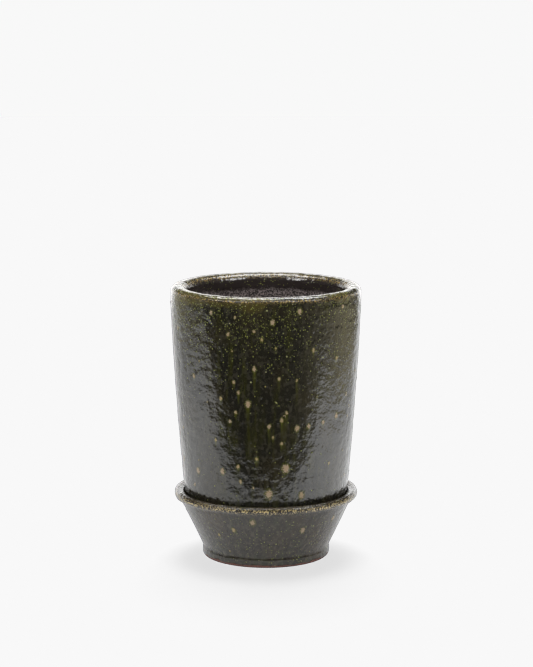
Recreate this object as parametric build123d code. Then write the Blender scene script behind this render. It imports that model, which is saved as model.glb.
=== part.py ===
from build123d import *
import os
from math import atan2, hypot, radians, sqrt, tan

# A tall glazed terracotta pot that stands loose in its own deep saucer.
# Millimetres, +Z up. The origin is on the ground, at the centre of the saucer's foot ring.

# ---- Overall sizes
mouth_diameter = 190.0        # across the outside of the pot's lip
overall_height = 275.0        # ground to the top of the lip, with the pot standing in its saucer

# ---- Pot
waist_diameter = 164.0        # across the pot where it drops into the saucer
wall_swell = 1.4              # how far the wall bows out from the straight line, waist to lip
pot_wall = 11.0               # thrown wall, and the thickness of the tapered heel
pot_floor = 12.0              # floor inside, above the face that the pot stands on
lip_thickness = 16.0          # the lip is rolled thicker than the wall
lip_depth = 13.0              # height of the thickened band inside
lip_blend = 12.0              # height over which the band runs back into the wall
lip_outer_round = 5.5
lip_inner_round = 8.0
band_round = 10.0             # inside, where the band starts to run back, and where it ends
drain_diameter = 22.0
stand_ring_width = 16.0       # the ring that the pot stands on
stand_recess = 3.0            # hollow under the floor, inside that ring
notch_width = 12.0            # gaps in the stand ring that let water out to the saucer
notch_count = 3
belly_round = 25.0            # inside, where the wall turns down into the heel
well_round = 12.0             # inside, round the floor
heel_round = 3.0              # outside, round the face that the pot stands on

# ---- Saucer
saucer_height = 68.0
saucer_lip_height = 8.0
saucer_lip_width = 8.6        # level width of the rolled lip, from its bore to its outer edge
saucer_lip_overhang = 5.2     # how far the lip stands out past the cone below it
saucer_lip_crown = 4.0        # the lip is highest this far in from its outer edge
saucer_lip_dish = 1.5         # from there its top falls this much to its bore
saucer_lip_round = 3.2        # the lip's two outer edges
saucer_wall = 6.5
saucer_floor = 8.0
foot_diameter = 127.6
foot_height = 9.0
foot_ring_width = 12.0
foot_recess = 5.0             # hollow under the saucer, inside the foot ring
foot_neck = 0.8               # the cone starts this much inside the foot ring
foot_round = 4.0
lip_root_round = 2.8          # under the lip, where it runs into the cone
basin_round = 6.0             # inside, round the saucer's floor

# ---- Fits
lip_gap = 1.2                 # all round, between the pot's waist and the saucer's lip
heel_gap = 3.0                # between the pot's heel and the saucer's inner cone
shoulder_drop = 4.0           # the heel's bevel starts this far below the saucer's lip top
shoulder_angle = 45.0         # slope of that bevel, from the vertical
edge_round = 1.0              # small soft edges that have no size of their own

# ---- The pot's wall: one arc from the waist up to the lip
mouth_radius = mouth_diameter / 2
waist_radius = waist_diameter / 2
lip_base_z = overall_height - lip_depth
arc_height = lip_base_z - saucer_height
arc_chord = hypot(mouth_radius - waist_radius, arc_height)
arc_radius = (arc_chord**2 / 4 + wall_swell**2) / (2 * wall_swell)
arc_centre_r = (waist_radius + mouth_radius) / 2 - (arc_radius - wall_swell) * arc_height / arc_chord
arc_centre_z = (saucer_height + lip_base_z) / 2 + (
    (arc_radius - wall_swell) * (mouth_radius - waist_radius) / arc_chord
)


def wall_radius(z):
    """Radius of the pot's outer wall at height z."""
    return arc_centre_r + sqrt(arc_radius**2 - (z - arc_centre_z) ** 2)


# ---- The saucer's cone, and the pot's heel, which runs parallel to it
foot_radius = foot_diameter / 2
drain_radius = drain_diameter / 2
cone_base_radius = foot_radius - foot_neck
lip_bore_radius = waist_radius + lip_gap
saucer_lip_radius = lip_bore_radius + saucer_lip_width
lip_under_z = saucer_height - saucer_lip_height
cone_top_radius = saucer_lip_radius - saucer_lip_overhang
cone_slope = (cone_top_radius - cone_base_radius) / (lip_under_z - foot_height)
cone_widen = hypot(1, cone_slope)          # level thickness for each unit square to the cone


def cone_radius(z, inset):
    """Radius at height z of a cone that lies inset from the saucer's outer cone, square to it."""
    return cone_base_radius + cone_slope * (z - foot_height) - inset * cone_widen


basin_z = foot_recess + saucer_floor       # the saucer's floor, which the pot stands on
heel_inset = saucer_wall + heel_gap
lining_inset = heel_inset + pot_wall

# The bevel falls inward from the waist to the heel's cone, and the saucer's seat runs beside it.
bevel_slope = tan(radians(shoulder_angle))
shoulder_z = saucer_height - shoulder_drop
shoulder_radius = wall_radius(shoulder_z)
bevel_drop = (shoulder_radius - cone_radius(shoulder_z, heel_inset)) / (bevel_slope - cone_slope)
bevel_z = shoulder_z - bevel_drop
seat_radius_at_shoulder = shoulder_radius + lip_gap * hypot(1, bevel_slope)
seat_top_z = shoulder_z - (seat_radius_at_shoulder - lip_bore_radius) / bevel_slope
seat_drop = (seat_radius_at_shoulder - cone_radius(shoulder_z, saucer_wall)) / (bevel_slope - cone_slope)
seat_foot_z = shoulder_z - seat_drop


# Under the lip, the root's round has to leave room for the round on the lip's lower edge.
root_turn = atan2(1, cone_slope)
root_room = 0.95 * (saucer_lip_overhang - saucer_lip_round)
lip_root_fit = min(lip_root_round, root_room / tan(root_turn / 2))


def belly_height():
    """Height at which the pot's inner wall meets the inner cone of its heel."""
    low, high = basin_z, lip_base_z
    while high - low > 1e-6:
        middle = (low + high) / 2
        if cone_radius(middle, lining_inset) < wall_radius(middle) - pot_wall:
            low = middle
        else:
            high = middle
    return low


def wall_arc(low_z, high_z, inset):
    """The wall's arc from one height to another, moved inward by inset."""
    heights = (low_z, (low_z + high_z) / 2, high_z)
    return ThreePointArc(*[(wall_radius(z) - inset, z) for z in heights])


def turned(outline, rounds):
    """A solid turned about Z from an outline of (radius, height), with its corners rounded."""
    face = make_face(outline.edges())
    for (radius, height), corner_round in rounds:
        place = Vector(radius, height)
        nearest = min(face.vertices(), key=lambda vertex: (Vector(*vertex) - place).length)
        face = fillet(nearest, corner_round)
    return revolve(Plane.XZ * face, axis=Axis.Z)


def build_pot():
    """The pot: lip, bowed wall, bevelled heel, notched stand ring and drain hole."""
    hollow_z = basin_z + stand_recess
    floor_z = basin_z + pot_floor
    belly_z = belly_height()
    band_end_z = lip_base_z - lip_blend

    stand_edge = (cone_radius(basin_z, heel_inset), basin_z)
    stand_inner = (stand_edge[0] - stand_ring_width, basin_z)
    hollow_edge = (stand_inner[0], hollow_z)
    bevel_foot = (cone_radius(bevel_z, heel_inset), bevel_z)
    shoulder = (shoulder_radius, shoulder_z)
    lip_outer = (mouth_radius, overall_height)
    lip_inner = (mouth_radius - lip_thickness, overall_height)
    band_start = (lip_inner[0], lip_base_z)
    band_end = (wall_radius(band_end_z) - pot_wall, band_end_z)
    belly = (wall_radius(belly_z) - pot_wall, belly_z)
    well_edge = (cone_radius(floor_z, lining_inset), floor_z)

    outline = Polyline((drain_radius, hollow_z), hollow_edge, stand_inner, stand_edge, bevel_foot, shoulder)
    outline += wall_arc(shoulder_z, lip_base_z, 0)
    outline += Polyline((mouth_radius, lip_base_z), lip_outer, lip_inner, band_start, band_end)
    outline += wall_arc(belly_z, band_end_z, pot_wall)
    outline += Polyline(belly, well_edge, (drain_radius, floor_z), (drain_radius, hollow_z))
    rounds = [
        (lip_outer, lip_outer_round),
        (lip_inner, lip_inner_round),
        (band_start, band_round / 2),
        (band_end, band_round),
        (belly, belly_round),
        (well_edge, well_round),
        (stand_edge, heel_round),
        (stand_inner, edge_round),
        (bevel_foot, heel_round),
        (shoulder, edge_round),
    ]
    body = turned(outline, rounds)

    notch_start = stand_inner[0] - stand_ring_width / 2
    notch_reach = stand_edge[0] + heel_gap - notch_start
    for step in range(notch_count):
        notch = Pos(notch_start + notch_reach / 2, 0, basin_z + stand_recess / 2) * Box(
            notch_reach, notch_width, stand_recess
        )
        body -= Rot(0, 0, 360 / notch_count * step + 90) * notch
    return body


def build_saucer():
    """The saucer: foot ring, cone, rolled lip with a bevelled seat, and a flat basin."""
    ring_inner = foot_radius - foot_ring_width
    foot_edge = (foot_radius, 0)
    foot_inner = (ring_inner, 0)
    foot_top = (foot_radius, foot_height)
    cone_top = (cone_top_radius, lip_under_z)
    lip_low = (saucer_lip_radius, lip_under_z)
    lip_high = (saucer_lip_radius, saucer_height)
    lip_crown = (saucer_lip_radius - saucer_lip_crown, saucer_height)
    lip_bore = (lip_bore_radius, saucer_height - saucer_lip_dish)
    seat_foot = (cone_radius(seat_foot_z, saucer_wall), seat_foot_z)
    basin_edge = (cone_radius(basin_z, saucer_wall), basin_z)

    outline = Polyline(
        (0, foot_recess),
        (ring_inner, foot_recess),
        foot_inner,
        foot_edge,
        foot_top,
        (cone_base_radius, foot_height),
        cone_top,
        lip_low,
        lip_high,
        lip_crown,
        lip_bore,
        (lip_bore_radius, seat_top_z),
        seat_foot,
        basin_edge,
        (0, basin_z),
        (0, foot_recess),
    )
    rounds = [
        (foot_edge, foot_round),
        (foot_inner, edge_round),
        (cone_top, lip_root_fit),
        (lip_low, saucer_lip_round),
        (lip_high, saucer_lip_round),
        (lip_crown, saucer_lip_round),
        (lip_bore, edge_round),
        (seat_foot, edge_round),
        (basin_edge, basin_round),
    ]
    return turned(outline, rounds)


os.makedirs("parts", exist_ok=True)
for name, solid in (("pot", build_pot()), ("saucer", build_saucer())):
    export_step(solid, f"parts/{name}.step")
    size = solid.bounding_box().size
    print(f"{name}: {size.X:.1f} x {size.Y:.1f} x {size.Z:.1f} mm, {solid.volume / 1000:.0f} cm3")
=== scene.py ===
"""A tall glazed terracotta pot standing in its saucer: the looks, built around the CAD frame."""

import logging
import math
from dataclasses import dataclass
from enum import Enum

import bpy
import numpy as np
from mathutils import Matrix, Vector, noise


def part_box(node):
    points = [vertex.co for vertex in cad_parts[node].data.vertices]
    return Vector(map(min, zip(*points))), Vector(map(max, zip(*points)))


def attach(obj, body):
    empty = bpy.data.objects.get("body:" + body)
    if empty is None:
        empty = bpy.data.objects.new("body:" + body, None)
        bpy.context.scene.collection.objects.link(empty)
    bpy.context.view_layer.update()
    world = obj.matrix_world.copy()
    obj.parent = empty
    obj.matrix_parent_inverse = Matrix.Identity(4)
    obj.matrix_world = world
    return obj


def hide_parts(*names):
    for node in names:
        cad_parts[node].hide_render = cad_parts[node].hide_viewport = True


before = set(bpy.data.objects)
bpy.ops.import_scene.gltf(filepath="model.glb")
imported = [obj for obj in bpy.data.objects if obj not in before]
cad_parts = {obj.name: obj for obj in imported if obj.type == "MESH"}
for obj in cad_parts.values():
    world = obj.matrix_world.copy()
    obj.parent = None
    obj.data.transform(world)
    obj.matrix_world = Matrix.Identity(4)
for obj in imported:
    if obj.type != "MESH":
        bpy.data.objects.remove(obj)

LOG = logging.getLogger("pot")
MM = 0.001
FULL_TURN = 2 * math.pi
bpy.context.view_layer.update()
Attributes = dict[str, np.ndarray]
Point = tuple[float, float, float]
Material = bpy.types.Material
Object = bpy.types.Object
Collection = bpy.types.Collection
Socket = bpy.types.NodeSocket
Tree = bpy.types.NodeTree

# How far from its middle a drop's head and halo reach, in drop sizes.
DROP_REACH = 2.4
# The least glaze between two drops, in millimetres.
DROP_GAP = 2.0
# The scattered drops: their sizes in millimetres, how much the sizes are spread out, and the
# lengths of their runs in drop sizes.
SCATTER_SIZES = (0.7, 1.9)
SCATTER_SPREAD = 1.15
SCATTER_RUNS = (1, 7)
# How far apart two pieces lie in the noise, in cells.
NOISE_STEP = 37.0
# How far the largest lumps carry the throwing rings along, in radians for each millimetre.
RING_DRIFT = 14


def linear(hex_colour: str) -> tuple[float, float, float, float]:
    """Turns an sRGB hex colour such as "#8a5a2b" into a linear RGBA colour.

    Args:
        hex_colour: six hex digits after a hash.

    Returns:
        Red, green, blue and an alpha of 1, each from 0 to 1.
    """
    parts = [int(hex_colour[i : i + 2], 16) / 255 for i in (1, 3, 5)]
    curve = [p / 12.92 if p <= 0.04045 else ((p + 0.055) / 1.055) ** 2.4 for p in parts]
    return (curve[0], curve[1], curve[2], 1.0)


def node(tree: Tree, kind: str, inputs: list | dict = (), out: int | str = 0, **settings) -> Socket:
    """Adds a node, sets it up and links it.

    Args:
        tree: the tree that the node goes in.
        kind: the node's type without "ShaderNode", such as "Math".
        inputs: what goes into its sockets, in order or by number or name: values or other outputs.
        out: the output to give back.
        settings: the node's own properties.

    Returns:
        The chosen output, or None for a node that has none.
    """
    made = tree.nodes.new("ShaderNode" + kind)
    for name, value in settings.items():
        setattr(made, name, value)
    for key, value in inputs.items() if isinstance(inputs, dict) else enumerate(inputs):
        if isinstance(value, Socket):
            tree.links.new(value, made.inputs[key])
        else:
            made.inputs[key].default_value = value
    return made.outputs[out] if made.outputs else None


def smooth_step(value: np.ndarray, low: float, high: float) -> np.ndarray:
    """Rises smoothly from 0 at low to 1 at high, which may be below low."""
    t = np.clip((value - low) / (high - low), 0, 1)
    return t * t * (3 - 2 * t)


def ridge(value: np.ndarray, width: float | np.ndarray) -> np.ndarray:
    """Is 1 where the value is 0, and falls smoothly to 0 over a few widths on both sides."""
    return np.exp(-((value / width) ** 2))


def level(x: tuple[float, float], y: tuple[float, float], height: float) -> list[Point]:
    """The corners of a level card that spans x and y, in metres."""
    return [(x[0], y[0], height), (x[1], y[0], height), (x[1], y[1], height), (x[0], y[1], height)]


class Zone(Enum):
    """The stretches of a turned piece: mesh spacing in millimetres, and share of the unwrap."""

    UNDERSIDE = (3.0, 0.30)
    FOOT = (1.0, 1.20)
    HEEL = (2.2, 0.50)
    WALL = (1.5, 1.00)
    LIP = (0.9, 1.60)
    INSIDE = (4.0, 0.35)
    FLOOR = (4.0, 0.34)

    @property
    def spacing(self) -> float:
        """Distance between rings in millimetres."""
        return self.value[0]

    @property
    def share(self) -> float:
        """How much of the unwrap a millimetre gets, where the wall gets 1."""
        return self.value[1]


@dataclass(frozen=True)
class Corner:
    """A corner of a turned outline, in millimetres, and the zone of the stretch that leaves it."""

    radius: float
    height: float
    round: float = 0.0
    zone: Zone = Zone.WALL


@dataclass
class Outline:
    """A turned outline sampled into rings: radius, height, outward normal and zone of each."""

    radius: np.ndarray
    height: np.ndarray
    normal: np.ndarray
    zone: list[Zone]

    @classmethod
    def through(cls, corners: list[Corner]) -> "Outline":
        """Rounds the corners and samples the outline.

        Args:
            corners: the corners in order, with the solid on the left of the way along them.

        Returns:
            The sampled outline.
        """
        points: list[tuple[float, float]] = []
        zones: list[Zone] = []
        before = np.array([corners[0].radius, corners[0].height])
        for here, corner, after in zip(corners, corners[1:], corners[2:] + [None]):
            at = np.array([corner.radius, corner.height])
            if after is None or corner.round == 0:
                cls._run(points, zones, before, at, here.zone)
                before = at
                continue
            into = (at - before) / np.linalg.norm(at - before)
            out = np.array([after.radius, after.height]) - at
            out = out / np.linalg.norm(out)
            turn = math.acos(float(np.clip(into @ out, -1, 1)))
            reach = corner.round * math.tan(turn / 2)
            start = at - into * reach
            cls._run(points, zones, before, start, here.zone)
            left = np.array([-into[1], into[0]])
            side = left if left @ out > 0 else -left
            spacing = min(here.zone.spacing, corner.zone.spacing)
            steps = max(3, math.ceil(corner.round * turn / spacing))
            for step in range(1, steps):
                angle = turn * step / steps
                moved = side * (1 - math.cos(angle)) + into * math.sin(angle)
                points.append(tuple(start + moved * corner.round))
                zones.append(corner.zone)
            before = at + out * reach
        points.append(tuple(before))
        zones.append(corners[-1].zone)
        place = np.array(points)
        way = np.gradient(place, axis=0)
        way /= np.linalg.norm(way, axis=1)[:, None]
        return cls(place[:, 0], place[:, 1], np.stack([way[:, 1], -way[:, 0]], axis=1), zones)

    @staticmethod
    def _run(points: list, zones: list, start: np.ndarray, end: np.ndarray, zone: Zone) -> None:
        """Adds evenly spaced points from start up to, but not including, end.

        Args:
            points: the list that the points go in.
            zones: the list that their zones go in.
            start: where the straight stretch starts.
            end: where it ends.
            zone: the zone that it lies in.
        """
        count = max(1, round(float(np.linalg.norm(end - start)) / zone.spacing))
        for step in range(count):
            points.append(tuple(start + (end - start) * step / count))
            zones.append(zone)

    def within(self, *zones: Zone) -> np.ndarray:
        """True for each ring that lies in one of the zones, as a column."""
        return np.array([zone in zones for zone in self.zone])[:, None]

    @property
    def rise(self) -> np.ndarray:
        """Heights as a column."""
        return self.height[:, None]

    @property
    def reach(self) -> np.ndarray:
        """Radii as a column."""
        return self.radius[:, None]

    @property
    def outward(self) -> np.ndarray:
        """How much each ring faces away from the axis, as a column."""
        return self.normal[:, :1]

    @property
    def upward(self) -> np.ndarray:
        """How much each ring faces up, as a column."""
        return self.normal[:, 1:]


@dataclass(frozen=True)
class Drop:
    """A pale drop that floated up in the glaze, and the run that it left below it.

    Degrees are counted round from the front, to the right as seen, and sizes are millimetres.
    """

    degrees: float
    height: float
    size: float
    run: float
    tint: float


class Swelling(Enum):
    """How a layer of lumps swells: rolling like hills, or in round blisters with creases between."""

    ROLLING = "rolling"
    BLISTERED = "blistered"


@dataclass(frozen=True)
class Lumps:
    """One layer of unevenness: size of its cells, height of its lumps, how they swell and stretch."""

    grain: float
    height: float
    swelling: Swelling = Swelling.ROLLING
    stretch: float = 1.0


@dataclass(frozen=True)
class Relief:
    """How uneven the clay and its glaze are: layers of lumps, and the thrower's rings."""

    layers: tuple[Lumps, ...]
    ring_pitch: float
    ring_height: float
    bead_height: float
    run_height: float


@dataclass
class TurnedPiece:
    """A thrown clay piece: an outline turned about the upright axis, then made uneven by hand."""

    name: str
    body: str
    glaze: str
    relief: Relief
    drops: list[Drop]
    segments: int
    seed: int

    def corners(self) -> list[Corner]:
        """The outline's corners, which each piece gives."""
        raise NotImplementedError

    def shape(self, outline: Outline, angle: np.ndarray) -> np.ndarray:
        """How far each point stands out along its normal, in millimetres."""
        raise NotImplementedError

    def paint(self, outline: Outline, angle: np.ndarray) -> Attributes:
        """The piece's own masks for its finish, one value for each point."""
        raise NotImplementedError

    def cut(self, outline: Outline, angle: np.ndarray, height: np.ndarray) -> np.ndarray:
        """Heights after the cuts made by knife or wire: none, unless the piece has some."""
        return height

    def rough(self, outline: Outline, angle: np.ndarray, lumps: Lumps) -> np.ndarray:
        """One layer of lumps over the piece.

        Args:
            outline: the sampled outline.
            angle: the angle of each column.
            lumps: the layer.

        Returns:
            Its height for each ring and column, about as far below 0 as above.
        """
        off = self.seed * NOISE_STEP
        values = np.empty((len(outline.radius), len(angle)))
        east, north = np.cos(angle) / lumps.grain, np.sin(angle) / lumps.grain
        for ring, (radius, height) in enumerate(zip(outline.radius, outline.height)):
            level = height / lumps.grain / lumps.stretch + off
            places = [Vector((radius * e + off, radius * n, level)) for e, n in zip(east, north)]
            if lumps.swelling is Swelling.BLISTERED:
                values[ring] = [0.5 - 1.6 * noise.voronoi(place)[0][0] ** 2 for place in places]
            else:
                values[ring] = [noise.noise(place) for place in places]
        return values * lumps.height

    def unevenness(self, outline: Outline, angle: np.ndarray) -> np.ndarray:
        """The relief's lumps and throwing rings, in millimetres.

        Args:
            outline: the sampled outline.
            angle: the angle of each column.

        Returns:
            How far each point stands out.
        """
        lumps = [self.rough(outline, angle, layer) for layer in self.relief.layers]
        spiral = outline.rise / self.relief.ring_pitch * FULL_TURN + angle[None, :] + RING_DRIFT * lumps[0]
        return sum(lumps) + np.sin(spiral) * self.relief.ring_height

    def drop_masks(self, outline: Outline, angle: np.ndarray) -> Attributes:
        """Where each point lies from the nearest drop, and how much of a run covers it.

        Args:
            outline: the sampled outline.
            angle: the angle of each column.

        Returns:
            "drop": across and up from the drop's middle in drop sizes, and 1 where a drop is near.
            "tint": that drop's tint. "run": 0 to 1 along the runs. "bead": the raised heads.
        """
        rings, columns = len(outline.radius), len(angle)
        place = np.full((rings, columns, 3), (9.0, 9.0, 0.0))
        nearest = np.full((rings, columns), np.inf)
        tint = np.zeros((rings, columns))
        run = np.zeros((rings, columns))
        outside = outline.within(Zone.WALL, Zone.FOOT, Zone.LIP) & (outline.outward > 0.2)
        for drop in self.drops:
            turn = (angle - math.radians(drop.degrees - 90) + math.pi) % FULL_TURN - math.pi
            across = turn[None, :] * outline.reach
            up = np.broadcast_to(outline.rise - drop.height, across.shape)
            far = np.hypot(across, up) / drop.size
            won = (far < nearest) & outside
            near = (far < DROP_REACH) * 1.0
            nearest[won] = far[won]
            place[won] = np.stack([across / drop.size, up / drop.size, near], axis=2)[won]
            tint[won] = drop.tint
            if drop.run > 0:
                along = np.clip(-up / drop.run, 0, 1)
                width = drop.size * (0.62 - 0.25 * along)
                mask = ridge(across, width) * (1 - along) ** 1.5 * (up < drop.size * 0.4)
                run = np.maximum(run, mask * outside)
        return {"drop": place, "tint": tint, "run": run, "bead": np.exp(-((nearest * 1.1) ** 4))}

    def build(self) -> Object:
        """Builds the piece with the masks for its finish, and puts it on its body.

        Returns:
            The new object, in metres, in the CAD frame.
        """
        outline = Outline.through(self.corners())
        angle = np.arange(self.segments) * FULL_TURN / self.segments
        masks = self.drop_masks(outline, angle) | self.paint(outline, angle)
        out = self.shape(outline, angle)
        out += self.relief.bead_height * masks.pop("bead") + self.relief.run_height * masks["run"]
        radius = outline.reach + outline.outward * out
        height = self.cut(outline, angle, outline.rise + outline.upward * out)
        place = np.stack([radius * np.cos(angle), radius * np.sin(angle), height], axis=2) * MM
        made = self.mesh(outline, place, masks)
        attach(made, self.body)
        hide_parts(self.body)
        return made

    def mesh(self, outline: Outline, place: np.ndarray, masks: Attributes) -> Object:
        """Makes the object from a grid of points, closed at the axis or where its ends meet.

        Args:
            outline: the sampled outline.
            place: one point for each ring and column, in metres.
            masks: one value, or three, for each ring and column.

        Returns:
            The object, smooth shaded and unwrapped.
        """
        rings, columns = place.shape[:2]
        index = np.arange(rings * columns).reshape(rings, columns)
        if outline.radius[0] > 1:
            index[-1] = index[0]
        else:
            index[0], index[-1] = index[0, 0], index[-1, 0]
        kept, packed = np.unique(index, return_inverse=True)
        packed = packed.reshape(rings, columns)
        steps = np.hypot(np.diff(outline.radius), np.diff(outline.height))
        steps *= [zone.share for zone in outline.zone[:-1]]
        along = np.concatenate([[0], np.cumsum(steps)]) / steps.sum()
        faces, corners = [], []
        for ring in range(rings - 1):
            for column in range(columns):
                face, unwrapped = [], []
                for r, c in ((ring, column), (ring, column + 1), (ring + 1, column + 1), (ring + 1, column)):
                    vertex = int(packed[r, c % columns])
                    if vertex not in face:
                        face.append(vertex)
                        unwrapped.append((c / columns, along[r]))
                faces.append(face)
                corners += unwrapped
        mesh = bpy.data.meshes.new(self.name)
        mesh.from_pydata(place.reshape(-1, 3)[kept].tolist(), [], faces)
        mesh.polygons.foreach_set("use_smooth", np.ones(len(faces), dtype=bool))
        mesh.uv_layers.new(name="OFBake").data.foreach_set("uv", np.array(corners, dtype=np.float32).ravel())
        for name, values in masks.items():
            vector = values.ndim == 3
            made = mesh.attributes.new(name, "FLOAT_VECTOR" if vector else "FLOAT", "POINT")
            values = np.broadcast_to(values, place.shape if vector else (rings, columns))
            flat = values.reshape(rings * columns, -1)[kept].astype(np.float32)
            made.data.foreach_set("vector" if vector else "value", flat.ravel())
        mesh.update()
        made = bpy.data.objects.new(self.name, mesh)
        bpy.context.scene.collection.objects.link(made)
        return made


@dataclass
class Pot(TurnedPiece):
    """The pot: rolled lip, bowed wall, bevelled heel, notched stand ring and drain hole."""

    waist: float = 82.0
    swell: float = 1.4
    wall: float = 11.0
    floor: float = 12.0
    lip: float = 16.0
    band: float = 13.0
    blend: float = 12.0
    drain: float = 11.0
    ring: float = 16.0
    recess: float = 3.0
    notch: float = 12.0
    notches: int = 3
    shoulder_drop: float = 4.0
    heel_foot: float = 54.4
    bevel: tuple[float, float] = (74.9, 57.24)
    belly: tuple[float, float] = (71.9, 76.9)
    well: float = 47.8
    # The rings that a throwing hand leaves inside: how far apart, and how high.
    hand_ring: tuple[float, float] = (9.0, 0.25)
    # Millimetres below the lip: where the flecks end, where the glaze breaks over the lip's outer
    # and inner edges and how widely, and where the glossy glaze inside gives way to the thin wash.
    fleck_end: float = 105.0
    outer_break: tuple[float, float] = (3.7, 1.1)
    inner_break: tuple[float, float] = (2.2, 1.8)
    glossy_end: tuple[float, float] = (13.0, 19.0)
    # Millimetres above the foot: where the glaze was wiped off, from fully glazed to bare.
    wiped: tuple[float, float] = (6.0, 2.0)

    @property
    def base(self) -> float:
        """Height of the stand ring's foot."""
        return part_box("pot")[0][2] / MM

    @property
    def top(self) -> float:
        """Height of the lip."""
        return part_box("pot")[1][2] / MM

    @property
    def waist_height(self) -> float:
        """Height at which the wall leaves the saucer."""
        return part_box("saucer")[1][2] / MM

    @property
    def mouth(self) -> float:
        """Outer radius of the lip."""
        return round(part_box("pot")[1][0] / MM, 1)

    def corners(self) -> list[Corner]:
        """The outline, from the drain hole out, up the wall, over the lip and down inside.

        Returns:
            The corners in order.
        """
        lip_foot = self.top - self.band
        hollow = self.base + self.recess
        slope = (self.mouth - self.waist) / (lip_foot - self.waist_height)
        band_end = lip_foot - self.blend
        inner = self.waist + slope * (band_end - self.waist_height) - self.wall
        shoulder = (self.waist - slope * self.shoulder_drop, self.waist_height - self.shoulder_drop)
        return [
            Corner(self.drain, hollow, zone=Zone.UNDERSIDE),
            Corner(self.heel_foot - self.ring, hollow, zone=Zone.UNDERSIDE),
            Corner(self.heel_foot - self.ring, self.base, 1.0, Zone.UNDERSIDE),
            Corner(self.heel_foot, self.base, 3.0, Zone.HEEL),
            Corner(*self.bevel, 3.0, Zone.HEEL),
            Corner(*shoulder, 1.0, Zone.WALL),
            Corner(self.mouth, lip_foot, 8.0, Zone.LIP),
            Corner(self.mouth, self.top, 5.5, Zone.LIP),
            Corner(self.mouth - self.lip, self.top, 8.0, Zone.LIP),
            Corner(self.mouth - self.lip, lip_foot, 5.0, Zone.LIP),
            Corner(inner, band_end, 10.0, Zone.INSIDE),
            Corner(*self.belly, 25.0, Zone.INSIDE),
            Corner(self.well, self.base + self.floor, 12.0, Zone.FLOOR),
            Corner(self.drain, self.base + self.floor, 1.0, Zone.UNDERSIDE),
            Corner(self.drain, hollow, zone=Zone.UNDERSIDE),
        ]

    def shape(self, outline: Outline, angle: np.ndarray) -> np.ndarray:
        """The wall's bow and the unevenness, with less of it on the hidden heel and stand ring.

        Args:
            outline: the sampled outline.
            angle: the angle of each column.

        Returns:
            How far each point stands out, in millimetres.
        """
        t = np.clip((outline.rise - self.waist_height) / (self.top - self.band - self.waist_height), 0, 1)
        bow = 4 * self.swell * t * (1 - t) * outline.outward
        hidden = outline.within(Zone.HEEL, Zone.UNDERSIDE)
        inside = outline.within(Zone.INSIDE, Zone.FLOOR)
        pitch, depth = self.hand_ring
        turning = np.sin(outline.rise / pitch * FULL_TURN + angle[None, :]) * depth * inside
        return bow + turning + self.unevenness(outline, angle) * np.where(hidden, 0.35, 1.0)

    def paint(self, outline: Outline, angle: np.ndarray) -> Attributes:
        """Where the glaze is thin and flecked, where it breaks over an edge, and where clay is bare.

        Args:
            outline: the sampled outline.
            angle: the angle of each column.

        Returns:
            The masks, from 0 to 1: "fleck", "edge", "clay", "band" and "lining".
        """
        ragged = self.rough(outline, angle, Lumps(14, 5)) + self.rough(outline, angle, Lumps(4, 2))
        lower = (outline.upward > 0.3) & (outline.rise < self.top - self.band)
        inside = ((outline.outward < -0.3) | lower) & (outline.rise > self.base + 4)
        below = self.top - outline.rise
        patchy = smooth_step(self.rough(outline, angle, Lumps(32, 1)), -0.40, 0.15)
        fleck = smooth_step(below + ragged, self.fleck_end, 4) * (0.35 + 0.65 * patchy) * ~inside
        outer, outer_width = self.outer_break
        inner, inner_width = self.inner_break
        outer_line = ridge(below - outer - 0.15 * ragged, outer_width) * (outline.outward > 0.2)
        inner_line = 0.65 * ridge(below - inner - 0.15 * ragged, inner_width) * (outline.outward < 0.2)
        band = smooth_step(below, 1.0, 3.0) * inside
        glazed, bare = self.wiped
        stand = smooth_step(outline.rise + 0.3 * ragged, self.base + glazed, self.base + bare) * ~inside
        lining = smooth_step(below + 0.4 * ragged, *self.glossy_end) * inside
        edge = np.maximum(outer_line, inner_line)
        fleck = np.where(inside & (below < self.band), 0.30, fleck)
        return {"fleck": fleck, "edge": edge, "clay": stand, "band": band, "lining": lining}

    def cut(self, outline: Outline, angle: np.ndarray, height: np.ndarray) -> np.ndarray:
        """Cuts the notches through the stand ring.

        Args:
            outline: the sampled outline.
            angle: the angle of each column.
            height: the height of each point before the cuts.

        Returns:
            The heights after them.
        """
        under = (height < self.base + self.recess) & (outline.reach < self.heel_foot + 3)
        for number in range(self.notches):
            middle = math.pi / 2 + number * FULL_TURN / self.notches
            turn = (angle - middle + math.pi) % FULL_TURN - math.pi
            across = np.abs(turn)[None, :] * outline.reach
            height = np.where(under & (across < self.notch / 2), self.base + self.recess, height)
        return height


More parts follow.
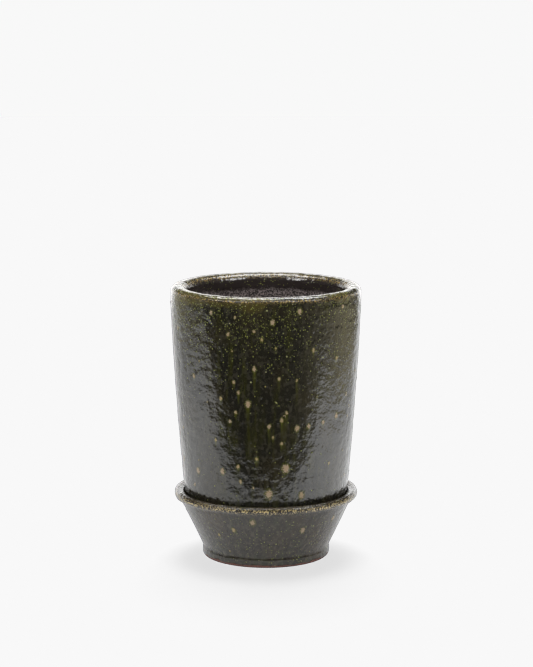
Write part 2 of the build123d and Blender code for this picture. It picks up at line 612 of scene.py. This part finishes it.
@dataclass
class Saucer(TurnedPiece):
    """The saucer: foot ring, cone, rolled lip, bevelled seat and basin."""

    foot: float = 63.8
    foot_height: float = 9.0
    foot_ring: float = 12.0
    recess: float = 5.0
    neck: float = 0.8
    floor: float = 8.0
    overhang: float = 5.2
    lip_height: float = 8.0
    crown: float = 4.0
    bore: float = 83.2
    dish: float = 1.5
    seat_top: float = 63.9
    seat_foot: tuple[float, float] = (79.4, 60.24)
    basin: float = 57.7
    # Where the glaze breaks over the lip and how widely, in millimetres below the lip.
    lip_break: tuple[float, float] = (4.4, 2.4)
    # Where the glaze was wiped off the foot, from fully glazed to bare, in millimetres up.
    wiped: tuple[float, float] = (3.4, 2.0)
    # The side with most flecks, in degrees round the axis.
    flecked_side: float = -60.0

    @property
    def top(self) -> float:
        """Height of the lip."""
        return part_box("saucer")[1][2] / MM

    @property
    def edge(self) -> float:
        """Outer radius of the lip."""
        return round(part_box("saucer")[1][0] / MM, 1)

    def corners(self) -> list[Corner]:
        """The outline, from the middle of the underside out, up the cone, over the lip and in.

        Returns:
            The corners in order.
        """
        under = self.top - self.lip_height
        basin_height = self.recess + self.floor
        return [
            Corner(0, self.recess, zone=Zone.UNDERSIDE),
            Corner(self.foot - self.foot_ring, self.recess, zone=Zone.UNDERSIDE),
            Corner(self.foot - self.foot_ring, 0, 1.0, Zone.UNDERSIDE),
            Corner(self.foot, 0, 4.0, Zone.FOOT),
            Corner(self.foot, self.foot_height - 1, 1.0, Zone.FOOT),
            Corner(self.foot - self.neck, self.foot_height + 1, 1.5, Zone.WALL),
            Corner(self.edge - self.overhang, under, 2.8, Zone.LIP),
            Corner(self.edge, under, 3.2, Zone.LIP),
            Corner(self.edge, self.top, 3.2, Zone.LIP),
            Corner(self.edge - self.crown, self.top, 3.2, Zone.LIP),
            Corner(self.bore, self.top - self.dish, 1.0, Zone.HEEL),
            Corner(self.bore, self.seat_top, 0.0, Zone.HEEL),
            Corner(*self.seat_foot, 1.0, Zone.INSIDE),
            Corner(self.basin, basin_height, 6.0, Zone.FLOOR),
            Corner(0, basin_height, zone=Zone.FLOOR),
        ]

    def shape(self, outline: Outline, angle: np.ndarray) -> np.ndarray:
        """The unevenness, with a true foot to stand on and a true basin for the pot.

        Args:
            outline: the sampled outline.
            angle: the angle of each column.

        Returns:
            How far each point stands out, in millimetres.
        """
        shown = outline.within(Zone.WALL, Zone.LIP, Zone.FOOT)
        still = smooth_step(outline.rise, 1.0, 5.0)
        return self.unevenness(outline, angle) * np.where(shown, 1.0, 0.3) * still

    def paint(self, outline: Outline, angle: np.ndarray) -> Attributes:
        """Where the glaze breaks over the lip, where it is flecked, and where clay is bare.

        Args:
            outline: the sampled outline.
            angle: the angle of each column.

        Returns:
            The masks, from 0 to 1: "fleck", "edge" and "clay", with "band" and "lining" at 0.
        """
        ragged = self.rough(outline, angle, Lumps(12, 1.6)) + self.rough(outline, angle, Lumps(4, 0.8))
        below = self.top - outline.rise
        rim = (outline.reach > self.edge - 4.5) & (below < self.lip_height + 0.5)
        lip_middle, lip_width = self.lip_break
        lip_line = ridge(below - lip_middle - 0.3 * ragged, lip_width) * rim
        bare = smooth_step(outline.rise + ragged, *self.wiped) * (outline.outward > -0.2)
        under = (outline.upward < -0.5) & (outline.rise < self.recess + 1)
        side = 0.5 + 0.5 * np.cos(angle - math.radians(self.flecked_side))[None, :]
        return {
            "fleck": 0.15 + 0.45 * side * smooth_step(below, 0, 40),
            "edge": lip_line,
            "clay": np.maximum(bare, under),
            "band": np.zeros_like(bare),
            "lining": np.zeros_like(bare),
        }


@dataclass(frozen=True)
class PouredGlaze:
    """Dark ash glaze, poured thick over red clay and fired glossy.

    It is near black where it pools, olive where it ran, amber where it breaks over an edge,
    and full of pale drops and yellow-green crystals.
    """

    name: str
    pooled: str = "#1d1c17"
    run_olive: str = "#303010"
    iron_brown: str = "#2c271b"
    bloom_grey: str = "#3d3a31"
    thin_amber: str = "#5a5024"
    edge_amber: str = "#97814b"
    crystal: str = "#99a04e"
    pale_crystal: str = "#bdb88a"
    dark_crystal: str = "#5d6130"
    trail: str = "#4d5014"
    trail_head: str = "#a5a552"
    drop_pink: str = "#9c866c"
    drop_ochre: str = "#8f7b48"
    wash: str = "#b0a3a0"
    wash_dark: str = "#2b2524"
    band_brown: str = "#2c2624"
    bare_clay: str = "#75473a"
    roughness: float = 0.09
    index: float = 1.55
    # The orange peel: size of its cells and depth, in millimetres.
    peel_size: float = 2.7
    peel_depth: float = 0.34
    crystal_odds: float = 1.0

    def make(self) -> Material:
        """Builds the glaze's nodes.

        Returns:
            The material.
        """
        made = bpy.data.materials.new(self.name)
        made.use_nodes = True
        tree = made.node_tree
        tree.nodes.clear()
        masks = {
            name: node(tree, "Attribute", out="Fac", attribute_name=name)
            for name in ("tint", "run", "fleck", "edge", "clay", "band", "lining")
        }
        fleck = masks["fleck"]
        masks["small"], masks["small_tint"] = self.crystals(tree, 1.8, 0.44, fleck, odds=0.85)
        masks["large"], masks["large_tint"] = self.crystals(tree, 5.0, 0.20, fleck, odds=0.55)
        masks["head"], masks["halo"] = self.drop_head(tree)
        colour = self.colour(tree, masks)
        normal = self.relief(tree, masks)
        gloss = self.gloss(tree, masks)
        inputs = {"Base Color": colour, "Roughness": gloss, "IOR": self.index, "Normal": normal}
        node(tree, "OutputMaterial", [node(tree, "BsdfPrincipled", inputs)])
        return made

    def mottle(self, tree: Tree, size: float, stretch: float = 1.0, detail: float = 2.0) -> Socket:
        """A cloudy pattern.

        Args:
            tree: the tree that it goes in.
            size: size of its patches in millimetres.
            stretch: how much taller than wide they are.
            detail: how many times finer patches lie on them.

        Returns:
            A value from 0 to 1, mostly near a half.
        """
        place = node(tree, "TexCoord", out="Object")
        per_patch = 1 / (size * MM)
        scale = (per_patch, per_patch, per_patch / stretch)
        scaled = node(tree, "VectorMath", [place, scale], operation="MULTIPLY")
        return node(tree, "TexNoise", {"Vector": scaled, "Scale": 1.0, "Detail": detail})

    def crystals(
        self, tree: Tree, spacing: float, radius: float, where: Socket | float, odds: float
    ) -> tuple[Socket, Socket]:
        """Round crystals scattered in the glaze.

        The real ones are finer; these are drawn as coarse as they need to be to show.

        Args:
            tree: the tree that they go in.
            spacing: distance between them in millimetres.
            radius: their largest radius, as a share of the spacing.
            where: 0 to 1, where they grow thickly, or one value for everywhere.
            odds: the share of places that hold one where they grow thickly.

        Returns:
            A mask of the crystals, and a random value for each.
        """
        place = node(tree, "TexCoord", out="Object")
        cell = node(tree, "TexVoronoi", {"Vector": place, "Scale": 1 / (spacing * MM), "Randomness": 1.0})
        dice = node(tree, "SeparateColor", [cell.node.outputs["Color"]])
        chance = node(tree, "Math", [where, odds * self.crystal_odds, 0.05], operation="MULTIPLY_ADD")
        there = node(tree, "Math", [dice, chance], operation="LESS_THAN")
        largest, green = 0.55 * radius, dice.node.outputs[1]
        reach = node(tree, "Math", [green, largest, 0.45 * radius], operation="MULTIPLY_ADD")
        off = node(tree, "Math", [cell, reach], operation="DIVIDE")
        near = node(tree, "MapRange", [off, 1.0, 0.5], interpolation_type="SMOOTHSTEP")
        return node(tree, "Math", [near, there], operation="MULTIPLY"), dice.node.outputs[2]

    def drop_head(self, tree: Tree) -> tuple[Socket, Socket]:
        """The ragged round heads of the drops, and the greenish halo round each.

        Args:
            tree: the tree that they go in.

        Returns:
            A mask of the heads, and one of the heads with their halos.
        """
        place = node(tree, "Attribute", out="Vector", attribute_name="drop")
        across = node(tree, "SeparateXYZ", [place])
        longer = node(tree, "VectorMath", [place, (1.0, 0.74, 0.0)], operation="MULTIPLY")
        reach = node(tree, "VectorMath", [longer], out="Value", operation="LENGTH")
        reach = node(tree, "Math", [self.mottle(tree, 1.3), 1.5, reach], operation="MULTIPLY_ADD")
        near = node(tree, "MapRange", [across.node.outputs[2], 0.5, 0.95], interpolation_type="SMOOTHSTEP")
        head = node(tree, "MapRange", [reach, 1.60, 1.30], interpolation_type="SMOOTHSTEP")
        halo = node(tree, "MapRange", [reach, 2.00, 1.55], interpolation_type="SMOOTHSTEP")
        head = node(tree, "Math", [head, near], operation="MULTIPLY")
        return head, node(tree, "Math", [halo, near], operation="MULTIPLY")

    def colour(self, tree: Tree, masks: dict[str, Socket]) -> Socket:
        """Lays the glaze's colours over one another.

        Args:
            tree: the tree that they go in.
            masks: where each effect shows.

        Returns:
            The colour.
        """
        soft = {"interpolation_type": "SMOOTHSTEP"}
        blend = {"out": 2, "data_type": "RGBA"}
        streaks = [masks["fleck"], 0.02, self.mottle(tree, 6, 9)]
        streaks = node(tree, "Math", streaks, operation="MULTIPLY_ADD")
        clouds = node(tree, "MapRange", [self.mottle(tree, 40, 1.6), 0.48, 0.70, 0.0, 0.7], **soft)
        bloom = node(tree, "MapRange", [self.mottle(tree, 3.4, 1.3, 3), 0.48, 0.66, 0.0, 0.55], **soft)
        grains = self.mottle(tree, 1.3)
        thin = node(tree, "Math", [masks["edge"], masks["fleck"]], operation="MAXIMUM")
        thin = node(tree, "MapRange", [thin, 0.975, 1.0, 0.0, 0.8], **soft)
        thin = node(tree, "Math", [thin, self.mottle(tree, 3.0, 1.5, 3)], operation="MULTIPLY")
        broken = node(tree, "MapRange", [self.mottle(tree, 1.5), 0.51, 0.57], **soft)
        trail = node(tree, "MapRange", [self.mottle(tree, 2.6, 6), 0.25, 0.60], **soft)
        trail = node(tree, "Math", [masks["run"], trail], operation="MULTIPLY")
        trail_head = node(tree, "MapRange", [masks["run"], 0.58, 1.0], **soft)
        green, dark, pale = linear(self.crystal), linear(self.dark_crystal), linear(self.pale_crystal)
        ochre, pink = linear(self.drop_ochre), linear(self.drop_pink)
        small = node(tree, "Mix", {0: masks["small_tint"], 6: green, 7: dark}, **blend)
        large = node(tree, "Mix", {0: masks["large_tint"], 6: green, 7: pale}, **blend)
        drop = node(tree, "Mix", {0: masks["tint"], 6: ochre, 7: pink}, **blend)
        stained = node(tree, "MapRange", [grains, 0.50, 0.72, 0.0, 0.5], **soft)
        drop = node(tree, "Mix", {0: stained, 6: drop, 7: linear(self.edge_amber)}, **blend)
        washed = node(tree, "MapRange", [self.mottle(tree, 1.6, 1.0, 3), 0.42, 0.62], **soft)
        washed = node(tree, "Mix", {0: washed, 6: linear(self.wash_dark), 7: linear(self.wash)}, **blend)
        fired = node(tree, "MapRange", [self.mottle(tree, 2.5, 1.0, 4), 0.45, 0.70, 0.0, 0.6], **soft)
        fired = node(tree, "Mix", {0: fired, 6: linear(self.bare_clay), 7: linear(self.iron_brown)}, **blend)
        layers = [
            (linear(self.run_olive), node(tree, "MapRange", [streaks, 0.44, 0.84], **soft)),
            (linear(self.iron_brown), clouds),
            (linear(self.bloom_grey), bloom),
            (linear(self.thin_amber), thin),
            (linear(self.band_brown), masks["band"]),
            (linear(self.trail), trail),
            (linear(self.trail_head), node(tree, "Math", [trail_head, 0.75], operation="MULTIPLY")),
            (small, node(tree, "Math", [masks["small"], 0.85], operation="MULTIPLY")),
            (large, node(tree, "Math", [masks["large"], 0.90], operation="MULTIPLY")),
            (linear(self.trail), node(tree, "Math", [masks["halo"], 0.75], operation="MULTIPLY")),
            (drop, masks["head"]),
            (linear(self.band_brown), node(tree, "Math", [masks["edge"], 0.85], operation="MULTIPLY")),
            (linear(self.edge_amber), node(tree, "Math", [masks["edge"], broken], operation="MULTIPLY")),
            (washed, masks["lining"]),
            (fired, node(tree, "MapRange", [masks["clay"], 0.35, 0.65], **soft)),
        ]
        colour = linear(self.pooled)
        for above, amount in layers:
            colour = node(tree, "Mix", {0: amount, 6: colour, 7: above}, **blend)
        return colour

    def relief(self, tree: Tree, masks: dict[str, Socket]) -> Socket:
        """The skin of the glaze: orange peel, pinholes and blisters, and the grain of dry clay.

        Args:
            tree: the tree that it goes in.
            masks: where each effect shows.

        Returns:
            The surface normal.
        """
        pinholes, _ = self.crystals(tree, spacing=5.0, radius=0.20, where=1.0, odds=0.40)
        blisters, _ = self.crystals(tree, spacing=11.0, radius=0.09, where=1.0, odds=0.5)
        dry = node(tree, "Math", [masks["clay"], masks["lining"]], operation="MAXIMUM")
        place = node(tree, "TexCoord", out="Object")
        peel = {"Vector": place, "Scale": 1 / (self.peel_size * MM), "Smoothness": 0.35}
        peel = node(tree, "TexVoronoi", peel, feature="SMOOTH_F1")
        layers = [
            (peel, -0.30),
            (self.mottle(tree, 3.6), 1.1),
            (self.mottle(tree, 1.4), 0.30),
            (pinholes, -2.6),
            (blisters, 3.0),
            (masks["small"], 0.25),
            (masks["head"], -0.9),
            (node(tree, "Math", [masks["edge"], self.mottle(tree, 1.5)], operation="MULTIPLY"), 1.6),
            (node(tree, "Math", [self.mottle(tree, 1.0, 1.0, 3), dry], operation="MULTIPLY"), 3.0),
        ]
        face = 0.0
        for layer, depth in layers:
            face = node(tree, "Math", [layer, depth, face], operation="MULTIPLY_ADD")
        return node(tree, "Bump", {"Height": face, "Strength": 1.0, "Distance": self.peel_depth * MM})

    def gloss(self, tree: Tree, masks: dict[str, Socket]) -> Socket:
        """Roughness: glassy glaze, duller on the drops, dry on the bare clay and the wash.

        Args:
            tree: the tree that it goes in.
            masks: where each effect shows.

        Returns:
            The roughness.
        """
        cloudy = [self.mottle(tree, 5, 1.0, 3), 0.10, self.roughness - 0.05]
        gloss = node(tree, "Math", cloudy, operation="MULTIPLY_ADD")
        dulled = node(tree, "Math", [masks["head"], 0.30], operation="MULTIPLY")
        dry = node(tree, "Math", [masks["clay"], masks["lining"]], operation="MAXIMUM")
        dry = node(tree, "Math", [dry, 0.72], operation="MULTIPLY")
        sharp = node(tree, "Math", [masks["edge"], -0.12, gloss], operation="MULTIPLY_ADD")
        gloss = node(tree, "Math", [sharp, dulled], operation="MAXIMUM")
        return node(tree, "Math", [gloss, dry], operation="MAXIMUM")


@dataclass(frozen=True)
class Lamp:
    """A soft light: where it hangs and what it faces in metres, its size, and how bright its face is."""

    name: str
    place: Point
    aim: Point
    size: tuple[float, float]
    radiance: float


@dataclass(frozen=True)
class Daylight:
    """Soft light on the floor alone: how bright, and its width and lean in degrees.

    The brightness is a share of the light that makes white paper white, and a lean below 0 brings
    the light from behind the piece.
    """

    name: str
    share: float
    spread: float
    lean: float


@dataclass(frozen=True)
class Pool:
    """A painted pool of light on paper: its middle and radius in metres, and the light that it adds; where
    it adds less than 0 it is painted shadow.
    """

    middle: Point
    radius: float
    added: float


@dataclass
class Studio:
    """A pale table, soft lights at the front and overhead, a pale backdrop, and the camera."""

    paper: str = "#f8f8f8"
    distance: float = 2.34
    camera_height: float = 0.613
    tilt: float = 9.4
    lens: float = 127.75
    sensor: float = 36.0
    nudge: float = 0.0009
    dimness: float = 0.10
    lamps: tuple[Lamp, ...] = (
        Lamp("softbox_left", (-0.99, -0.72, 1.18), (0, 0, 0.2), (0.62, 0.36), 14.0),
        Lamp("softbox_right", (0.99, -0.72, 1.18), (0, 0, 0.2), (0.62, 0.36), 14.0),
        Lamp("strip_front", (0, -0.55, 1.5), (0, 0, 0.1), (0.95, 0.2), 9.0),
        Lamp("softbox_above", (0, 0.45, 1.35), (0, 0.45, 0), (1.3, 0.5), 13.0),
    )
    key: Daylight = Daylight("floor_key", 0.22, 32, -21)
    fill: Daylight = Daylight("floor_fill", 0.72, 14, 0)
    table_light: float = 1.1
    table_glow_and_painted_shadow: tuple[Pool, ...] = (
        Pool((0.45, -0.30, 0), 0.85, 1.6),
        Pool((-0.55, -0.20, 0), 0.7, 1.0),
        # Painted shadow: the next two pools darken the mirrored table round the pot, where the pot's own
        # shadow would lie.
        Pool((0, 0, 0), 0.32, -0.8),
        Pool((0.08, -0.06, 0), 0.17, -0.4),
    )
    board_light: float = 0.03
    board_pools: tuple[Pool, ...] = (Pool((1.3, 0.2, 0), 1.5, 1.2), Pool((-2.2, 1.2, 0), 2.2, 1.1))
    backdrop_light: float = 2.3
    # The backdrop's half width, distance behind the piece and height, in metres.
    backdrop: Point = (1.6, 1.6, 0.62)

    def card(self, name: str, corners: list[Point], material: Material) -> Object:
        """Makes a flat card.

        Args:
            name: what it is called.
            corners: its corners in order, in metres.
            material: what it is made of.

        Returns:
            The card.
        """
        mesh = bpy.data.meshes.new(name)
        mesh.from_pydata(corners, [], [list(range(len(corners)))])
        mesh.materials.append(material)
        made = bpy.data.objects.new(name, mesh)
        bpy.context.scene.collection.objects.link(made)
        return made

    def mirrored(self, name: str, corners: list[Point], material: Material) -> None:
        """Makes a card that shows only in the glaze's reflections.

        Args:
            name: what it is called.
            corners: its corners in order, in metres.
            material: what it is made of.
        """
        card = self.card(name, corners, material)
        card.visible_camera = card.visible_diffuse = card.visible_shadow = False
        card.visible_transmission = card.visible_volume_scatter = False

    def lit_paper(self, name: str, least: float, pools: tuple[Pool, ...], hue: str) -> Material:
        """Glowing paper with painted pools of light, and painted shadow where a pool adds less than 0.

        Args:
            name: what it is called.
            least: the light between the pools.
            pools: the pools.
            hue: the paper's colour.

        Returns:
            The material.
        """
        made = bpy.data.materials.new(name)
        made.use_nodes = True
        tree = made.node_tree
        tree.nodes.clear()
        place = node(tree, "NewGeometry", out="Position")
        light = least
        for pool in pools:
            far = node(tree, "VectorMath", [place, pool.middle], out="Value", operation="DISTANCE")
            reach = [far, pool.radius, 0.0, 0.0, pool.added]
            more = node(tree, "MapRange", reach, interpolation_type="SMOOTHSTEP")
            light = node(tree, "Math", [more, light], operation="ADD")
        node(tree, "OutputMaterial", [node(tree, "Emission", [linear(hue), light])])
        return made

    def floor(self) -> Object:
        """The floor that takes the soft shadow.

        Returns:
            The floor.
        """
        paper = bpy.data.materials.new("paper_matt_white")
        paper.use_nodes = True
        shader = paper.node_tree.nodes["Principled BSDF"]
        shader.inputs["Base Color"].default_value = linear(self.paper)
        shader.inputs["Roughness"].default_value = 0.9
        ground = self.card("floor", level((-6, 6), (-6, 6), 0), paper)
        ground.is_shadow_catcher = True
        ground.visible_glossy = False
        return ground

    def reflections(self) -> None:
        """The table top, the room round it and the backdrop, as the glaze mirrors them."""
        white, warm = "#ffffff", "#fff3cc"
        table = self.lit_paper("table_paper_lit", self.table_light, self.table_glow_and_painted_shadow, white)
        # The mirrored table glows with painted pools of light, and painted shadow round the pot.
        self.mirrored("table_top", level((-1.12, 0.70), (-0.253, 1.6), -0.001), table)
        boards = self.lit_paper("boards_lit", self.board_light, self.board_pools, warm)
        self.mirrored("room_floor", level((-4, 4), (-4, 4), -0.003), boards)
        paper = self.lit_paper("backdrop_paper_lit", self.backdrop_light, (), white)
        wide, far, high = self.backdrop
        corners = [(-wide, far, 0), (wide, far, 0), (wide, far, high), (-wide, far, high)]
        self.mirrored("backdrop", corners, paper)

    def softbox(self, lamp: Lamp, receivers: Collection) -> None:
        """Hangs a soft light.

        Args:
            lamp: the light.
            receivers: the collection that says what it lights.
        """
        light = bpy.data.lights.new(lamp.name, "AREA")
        light.shape = "RECTANGLE"
        light.size, light.size_y = lamp.size
        light.energy = lamp.radiance * math.pi * lamp.size[0] * lamp.size[1]
        made = bpy.data.objects.new(lamp.name, light)
        made.location = lamp.place
        made.rotation_euler = (Vector(lamp.aim) - Vector(lamp.place)).to_track_quat("-Z", "Y").to_euler()
        made.visible_camera = False
        made.light_linking.receiver_collection = receivers
        bpy.context.scene.collection.objects.link(made)

    def daylight(self, sun: Daylight, ground: Collection, blockers: Collection) -> None:
        """Hangs a soft light from above that falls on the floor alone.

        Args:
            sun: the light.
            ground: the collection that holds the floor.
            blockers: the collection of what casts a shadow in this light.
        """
        light = bpy.data.lights.new(sun.name, "SUN")
        light.energy = sun.share * math.pi
        light.angle = math.radians(sun.spread)
        made = bpy.data.objects.new(sun.name, light)
        made.rotation_euler = (math.radians(sun.lean), 0, 0)
        made.visible_glossy = False
        made.light_linking.receiver_collection = ground
        made.light_linking.blocker_collection = blockers
        bpy.context.scene.collection.objects.link(made)

    def lights(self, ground: Object) -> None:
        """Softboxes for the piece, and soft light from above for the floor.

        The key's shadow comes from the saucer alone, so that it stays low and close.

        Args:
            ground: the floor.
        """
        floor_only = bpy.data.collections.new("floor_only")
        floor_only.objects.link(ground)
        not_floor = bpy.data.collections.new("not_floor")
        not_floor.objects.link(ground)
        not_floor.collection_objects[0].light_linking.link_state = "EXCLUDE"
        for lamp in self.lamps:
            self.softbox(lamp, not_floor)
        low = bpy.data.collections.new("low_pieces")
        low.objects.link(bpy.data.objects["saucer_clay"])
        self.daylight(self.key, floor_only, low)
        self.daylight(self.fill, floor_only, floor_only)

    def room(self) -> None:
        """The room: pale to the camera, dim to everything else."""
        world = bpy.data.worlds.new("room")
        world.use_nodes = True
        tree = world.node_tree
        tree.nodes.clear()
        seen = node(tree, "LightPath", out="Is Camera Ray")
        pale = node(tree, "Background", [linear(self.paper), 1.0])
        dim = node(tree, "Background", [linear("#ffffff"), self.dimness])
        node(tree, "OutputWorld", [node(tree, "MixShader", [seen, dim, pale])])
        bpy.context.scene.world = world
        bpy.context.scene.view_settings.view_transform = "Standard"

    def camera(self) -> None:
        """The camera, a little above the lip and looking slightly down."""
        data = bpy.data.cameras.new("camera")
        data.lens = self.lens
        data.sensor_width = self.sensor
        data.shift_x = self.nudge
        made = bpy.data.objects.new("camera", data)
        made.location = (0, -self.distance, self.camera_height)
        made.rotation_euler = (math.radians(90 - self.tilt), 0, 0)
        bpy.context.scene.collection.objects.link(made)
        bpy.context.scene.camera = made

    def build(self) -> None:
        """Sets up everything that isn't the object."""
        self.camera()
        self.lights(self.floor())
        self.reflections()
        self.room()


POT_DROPS = [
    Drop(-34, 259, 2.2, 6, 1.0),
    Drop(20, 262, 2.8, 5, 0.9),
    Drop(4, 252, 2.6, 5, 1.0),
    Drop(52, 262, 2.2, 5, 0.9),
    Drop(-7, 243, 1.6, 8, 0.7),
    Drop(-7, 206, 2.2, 34, 0.8),
    Drop(8, 196, 1.8, 16, 0.5),
    Drop(19, 194, 1.4, 14, 0.4),
    Drop(-20, 192, 1.6, 12, 0.6),
    Drop(-17, 182, 1.8, 16, 0.8),
    Drop(-29, 175, 1.8, 14, 0.3),
    Drop(-11, 171, 3.2, 22, 0.9),
    Drop(-19, 162, 1.8, 12, 0.6),
    Drop(13, 162, 1.7, 24, 0.7),
    Drop(10, 155, 2.1, 24, 0.6),
    Drop(2, 149, 2.2, 26, 0.9),
    Drop(20, 146, 2.6, 18, 0.8),
    Drop(28, 147, 2.3, 10, 0.8),
    Drop(39, 149, 2.0, 8, 0.9),
    Drop(51, 153, 2.6, 6, 1.0),
    Drop(-6, 116, 1.8, 18, 0.1),
    Drop(10, 131, 1.6, 12, 0.5),
    Drop(13, 106, 4.2, 14, 1.0),
    Drop(-30, 101, 3.0, 6, 1.0),
    Drop(-52, 97, 2.8, 5, 1.0),
    Drop(-74, 103, 2.8, 6, 1.0),
    Drop(2, 80, 4.2, 8, 0.9),
    Drop(25, 77, 3.4, 5, 0.7),
    Drop(-17, 92, 1.8, 6, 0.6),
]

SAUCER_DROPS = [
    Drop(-9, 51, 3.2, 7, 0.9),
    Drop(28, 40, 3.0, 4, 1.0),
    Drop(-24, 41, 2.3, 12, 0.3),
    Drop(56, 47, 2.6, 5, 0.9),
]


def scattered(count: int, heights: tuple[float, float], seed: int) -> list[Drop]:
    """Small drops scattered at random all round.

    Args:
        count: how many.
        heights: the lowest and highest height in millimetres.
        seed: starts the random numbers.

    Returns:
        The drops.
    """
    random = np.random.default_rng(seed)
    made = []
    for _ in range(count):
        size = float(random.uniform(*SCATTER_SIZES)) ** SCATTER_SPREAD
        degrees, height = float(random.uniform(-180, 180)), float(random.uniform(*heights))
        run, tint = size * float(random.uniform(*SCATTER_RUNS)), float(random.uniform(0, 1))
        made.append(Drop(degrees, height, size, run, tint))
    return made


def apart(drops: list[Drop], more: list[Drop], radius: float) -> list[Drop]:
    """Adds each further drop that keeps clear of those already there.

    Args:
        drops: the drops that are listed.
        more: the drops to add.
        radius: the piece's radius in millimetres.

    Returns:
        The drops that stay.
    """
    kept = list(drops)
    for drop in more:
        away = []
        for other in kept:
            turn = math.radians((drop.degrees - other.degrees + 180) % 360 - 180)
            apart_by = math.hypot(turn * radius, drop.height - other.height)
            away.append(apart_by - DROP_REACH * (drop.size + other.size))
        if min(away) > DROP_GAP:
            kept.append(drop)
    return kept


POT_RELIEF = Relief(
    layers=(
        Lumps(70, 0.35, stretch=1.5),
        Lumps(20, 0.18),
        Lumps(9, 0.14),
        Lumps(8.5, 0.26, Swelling.BLISTERED),
        Lumps(5.0, 0.10, Swelling.BLISTERED),
    ),
    ring_pitch=6.5,
    ring_height=0.008,
    bead_height=0.32,
    run_height=0.06,
)

SAUCER_RELIEF = Relief(
    layers=(
        Lumps(60, 0.30),
        Lumps(18, 0.16, stretch=0.7),
        Lumps(8, 0.13, stretch=0.8),
        Lumps(7, 0.16, Swelling.BLISTERED),
        Lumps(4.2, 0.10, Swelling.BLISTERED),
    ),
    ring_pitch=5.2,
    ring_height=0.04,
    bead_height=0.32,
    run_height=0.05,
)


def main() -> None:
    """Builds the pot and the saucer in order, then the studio, and reports each piece."""
    logging.basicConfig(level=logging.INFO, format="%(message)s")
    pot_drops = apart(POT_DROPS, scattered(110, heights=(78, 262), seed=11), radius=88)
    saucer_drops = apart(SAUCER_DROPS, scattered(9, heights=(14, 52), seed=5), radius=74)
    glossy = PouredGlaze("ash_glaze_poured_glossy")
    satin = PouredGlaze(
        "ash_glaze_poured_satin",
        pooled="#2a241d",
        run_olive="#30331f",
        iron_brown="#3a3023",
        bloom_grey="#4f493c",
        edge_amber="#c4b07c",
        roughness=0.20,
        peel_depth=0.55,
        crystal_odds=0.6,
    )
    pot = Pot("pot_clay", "pot", "pot_glaze", POT_RELIEF, pot_drops, segments=400, seed=3)
    saucer = Saucer(
        "saucer_clay", "saucer", "saucer_glaze", SAUCER_RELIEF, saucer_drops, segments=420, seed=8
    )
    dressed = [(pot, glossy), (saucer, satin)]
    for piece, finish in dressed:
        made = piece.build()
        made.data.materials.append(finish.make())
        LOG.info("%s: %d faces, finish %s", made.name, len(made.data.polygons), finish.name)
    Studio().build()


if __name__ == "__main__":
    main()
